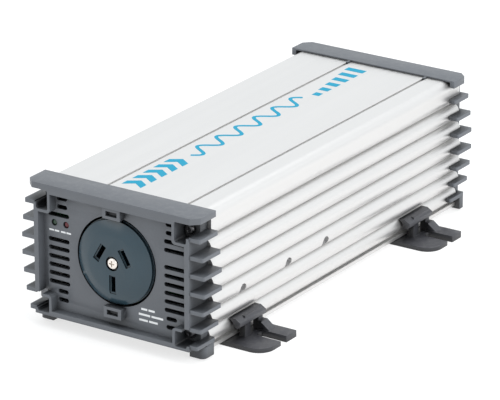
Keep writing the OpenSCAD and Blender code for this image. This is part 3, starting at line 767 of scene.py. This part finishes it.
def threaded_stud(name, node, radius, thread_y):
    """A bar whose outer end carries a thread, drawn as fine rings of a V outline."""
    low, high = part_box(node)
    centre = middle(node)
    bar = rod_y(name, (centre.x, centre.z), radius * ROOT, low.y, high.y, 48)
    bar = open_shape(name)
    pick("EDGE", lambda c, d: c.y > high.y - 0.01 * MM)
    bpy.ops.mesh.bevel(offset=0.3 * MM, segments=2, affect="EDGES")
    close_shape(bar)
    fresh()
    bpy.ops.mesh.primitive_cylinder_add(vertices=48, radius=radius * ROOT, depth=PITCH,
                                        end_fill_type="NOTHING", rotation=(math.pi / 2, 0, 0))
    ring = open_shape("thread ring")
    bpy.ops.mesh.select_all(action="SELECT")
    bpy.ops.mesh.subdivide(number_cuts=1)
    pick("EDGE", lambda c, d: abs(c.y) < PITCH / 8 and abs(d.y) < 0.1)
    grow = radius / (radius * ROOT)
    bpy.ops.transform.resize(value=(grow, 1, grow), center_override=(0, 0, 0))
    close_shape(ring, 20)
    count = int((high.y - 0.4 * MM - thread_y) / PITCH)
    parts = [bar]
    for i in range(count):
        spot = Matrix.Translation((centre.x, high.y - 0.4 * MM - (i + 0.5) * PITCH, centre.z))
        parts.append(place_copy(ring, f"{name}_thread_{i}", spot))
    bpy.data.objects.remove(ring)
    return finish_piece(join_pieces(name, parts), "brass", "case", node, slot="brass")


thumb_nut("positive_thumb_nut", "positive_nut", "red_plastic", "red_plastic")
thumb_nut("negative_thumb_nut", "negative_nut", "black_plastic", "black_plastic")
threaded_stud("positive_threaded_stud", "positive_stud", 3 * MM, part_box("positive_stud")[0].y + 12 * MM)
threaded_stud("negative_threaded_stud", "negative_stud", 3 * MM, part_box("negative_stud")[0].y + 12 * MM)
threaded_stud("earth_threaded_stud", "earth_stud", 2 * MM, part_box("earth_nuts")[1].y)

# %% [markdown]
# Earth nut
#
# The earth stud carries a plain hexagon nut whose corners are chamfered on its outer side. A
# six-sided bar is intersected with a bevelled round one, as a lathe would trim it, so that the
# chamfer meets each flat in the usual curve.

# %% Earth nut
nut_low, nut_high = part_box("earth_nuts")
nut_centre = middle("earth_nuts")
earth_nut = rod_y("earth_hex_nut", (nut_centre.x, nut_centre.z), 4 * MM, nut_low.y, nut_high.y, 6)
crown = rod_y("nut crown", (nut_centre.x, nut_centre.z), 3.95 * MM, nut_low.y - MM, nut_high.y, 48)
crown = open_shape("nut crown")
pick("EDGE", lambda c, d: c.y > nut_high.y - 0.01 * MM)
bpy.ops.mesh.bevel(offset=0.55 * MM, segments=1, affect="EDGES")
close_shape(crown)
carve(earth_nut, crown, "INTERSECT")
carve(earth_nut, rod_y("nut bore", (nut_centre.x, nut_centre.z), 2.02 * MM,
                       nut_low.y - MM, nut_high.y + MM, 40))
soften_edges(earth_nut, 0.08 * MM, 35, 1)
finish_piece(earth_nut, "steel", "case", "earth_nuts", slot="steel")

# %% [markdown]
# Rocker switch
#
# The rocker's face has two flats that meet in a shallow valley, so that a finger finds each
# side. A block's outer face is divided and its middle pressed in, and the two marks, a bar for
# on and a ring for off, stand slightly proud.

# %% Rocker
rocker_low, rocker_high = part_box("switch_rocker")
rocker_mid = middle("switch_rocker")
ROCKER_X = 4.8 * MM
rocker = block("rocker", (rocker_mid.x - ROCKER_X, rocker_low.y + 0.6 * MM, rocker_low.z),
               (rocker_mid.x + ROCKER_X, rocker_high.y, rocker_high.z))
select_only(rocker)
rocker = open_shape("rocker")
pick("EDGE", lambda c, d: abs(d.z) > 0.9)
bpy.ops.mesh.subdivide(number_cuts=7)
pick("EDGE", lambda c, d: c.y > rocker_high.y - 0.01 * MM and abs(d.x) > 0.9
     and abs(c.z - rocker_mid.z) < 0.5 * MM)
bpy.ops.transform.translate(value=(0, -1.0 * MM, 0))
pick("EDGE", lambda c, d: c.y > rocker_high.y - 0.01 * MM and abs(d.x) > 0.9
     and 1.2 * MM < abs(c.z - rocker_mid.z) < 2 * MM)
bpy.ops.transform.translate(value=(0, -0.7 * MM, 0))
pick("EDGE", lambda c, d: c.y > rocker_high.y - 0.01 * MM and abs(d.x) > 0.9
     and 2.5 * MM < abs(c.z - rocker_mid.z) < 3.5 * MM)
bpy.ops.transform.translate(value=(0, -0.35 * MM, 0))
close_shape(rocker)
soften_edges(rocker, 0.4 * MM, 40, 3)
finish_piece(rocker, "black_plastic", "switch_rocker", "switch_rocker", slot="black_plastic")

mark_y = rocker_high.y + 0.08 * MM
on_mark = block("on_mark", (rocker_mid.x - 1.2 * MM, mark_y - 0.3 * MM, rocker_mid.z + 4.7 * MM),
                (rocker_mid.x + 1.2 * MM, mark_y, rocker_mid.z + 5.15 * MM))
soften_edges(on_mark, 0.05 * MM, 35, 1)
fresh()
bpy.ops.mesh.primitive_torus_add(
    location=(rocker_mid.x, mark_y - 0.18 * MM, rocker_mid.z - 4.7 * MM), rotation=(math.pi / 2, 0, 0),
    major_radius=0.8 * MM, minor_radius=0.2 * MM, major_segments=32, minor_segments=8)
bpy.ops.object.transform_apply(location=True, rotation=True, scale=True)
off_mark = bpy.context.active_object
finish_piece(join_pieces("rocker_marks", [on_mark, off_mark]), "white_ink", "switch_rocker")

# %% [markdown]
# Status lamps
#
# Two small lamps show power and fault. Each lens is a short clear cylinder with a domed end,
# tinted but unlit.


# %% Lamp lenses
def lamp_lens(name, node, finish):
    low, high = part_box(node)
    centre = middle(node)
    lens = rod_y(name, (centre.x, centre.z), 1.5 * MM, low.y + 1.0 * MM, high.y, 32)
    lens = open_shape(name)
    pick("EDGE", lambda c, d: c.y < low.y + 1.01 * MM)
    bpy.ops.mesh.bevel(offset=0.9 * MM, segments=6, affect="EDGES")
    close_shape(lens, 60)
    return finish_piece(lens, finish, "case", node, slot=finish)


lamp_lens("power_lamp_lens", "lamp_power", "lamp_green")
lamp_lens("fault_lamp_lens", "lamp_fault", "lamp_red")

# %% [markdown]
# Printing
#
# The top carries a band of cyan ink from front to back. No wording is used: a row of arrows,
# a wave and a row of rising bars stand for direct current turned into alternating current.
# Ink is a film, so each mark is a very thin solid lying on the metal.

# %% Top print
housing_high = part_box("housing_extrusion")[1]
rim_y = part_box("front_cap")[0].y
INK = 0.04 * MM
BAND_LOW = -9.0 * MM
BAND_HIGH = 1.6 * MM
band_middle = (BAND_LOW + BAND_HIGH) / 2
POINT = 3.6 * MM


def ink_block(name, d, length, low):
    """A bar of ink across the band from low, d behind the front rim."""
    start = (low, rim_y + d, housing_high.z)
    return block(name, start, (BAND_HIGH, start[1] + length, start[2] + INK))


def ink_arrow(name, d, length):
    """A bar whose middle is drawn backwards into a point."""
    arrow = ink_block(name, d, length, BAND_LOW)
    select_only(arrow)
    arrow = open_shape(name)
    pick("EDGE", lambda c, direction: abs(direction.x) > 0.9)
    bpy.ops.mesh.subdivide(number_cuts=1)
    pick("EDGE", lambda c, direction: abs(c.x - band_middle) < 0.01 * MM and abs(direction.x) < 0.1)
    bpy.ops.transform.translate(value=(0, POINT, 0))
    close_shape(arrow)
    return arrow


ink_parts = [ink_arrow(f"arrow_{i}", (22 + 8.4 * i) * MM, 4.6 * MM) for i in range(5)]
for i in range(6):
    rising = BAND_HIGH - (4.0 + 1.3 * i) * MM
    ink_parts.append(ink_block(f"step_{i}", (172 + 8.0 * i) * MM, 4.2 * MM, rising))

WAVE_START, WAVE_END = 70 * MM, 166 * MM
WAVES = 6
STROKE = 1.9 * MM
fresh()
bpy.ops.mesh.primitive_grid_add(x_subdivisions=2, y_subdivisions=192, size=1,
                                location=(0, 0, 0))
wave = open_shape("wave")
bpy.ops.object.mode_set(mode="OBJECT")
for vertex in wave.data.vertices:
    along = vertex.co.y + 0.5
    phase = along * WAVES * 2 * math.pi
    side = vertex.co.x * STROKE * 2
    steep = math.atan(4.2 * MM * math.cos(phase) * WAVES * 2 * math.pi / (WAVE_END - WAVE_START))
    vertex.co.x = band_middle + 4.2 * MM * math.sin(phase) + side / 2 * math.cos(steep)
    vertex.co.y = rim_y + WAVE_START + along * (WAVE_END - WAVE_START) - side / 2 * math.sin(steep)
    vertex.co.z = housing_high.z
apply_modifier(wave, "SOLIDIFY", thickness=INK, offset=1)
ink_parts.append(wave)
finish_piece(join_pieces("top_print", ink_parts), "cyan_ink", "case")

# %% [markdown]
# Marks on the front panel
#
# The lamps and the outlet have small pad-printed labels. Short plain dashes stand for them, so
# that the panel has its pale accents and says nothing.

# %% Panel marks
panel_y = rim_y + 4.8 * MM
panel_marks = []


def panel_dash(x0, x1, z, height):
    panel_marks.append(block("dash", (x0 * MM, panel_y - INK, (z - height / 2) * MM),
                             (x1 * MM, panel_y + 0.01 * MM, (z + height / 2) * MM)))


lamp_x = (middle("lamp_power").x / MM, middle("lamp_fault").x / MM)
for x in lamp_x:
    panel_dash(x - 2.9, x - 0.3, 47.4, 0.8)
    panel_dash(x + 0.2, x + 2.7, 47.4, 0.8)
for z, left, right in ((19.6, 13.4, 20.8), (16.9, 12.0, 25.4), (14.2, 12.2, 22.4)):
    panel_dash(left, (left + right) / 2 - 0.4, z, 1.0)
    panel_dash((left + right) / 2 + 0.3, right, z, 1.0)
finish_piece(join_pieces("panel_marks", panel_marks), "white_ink", "case")
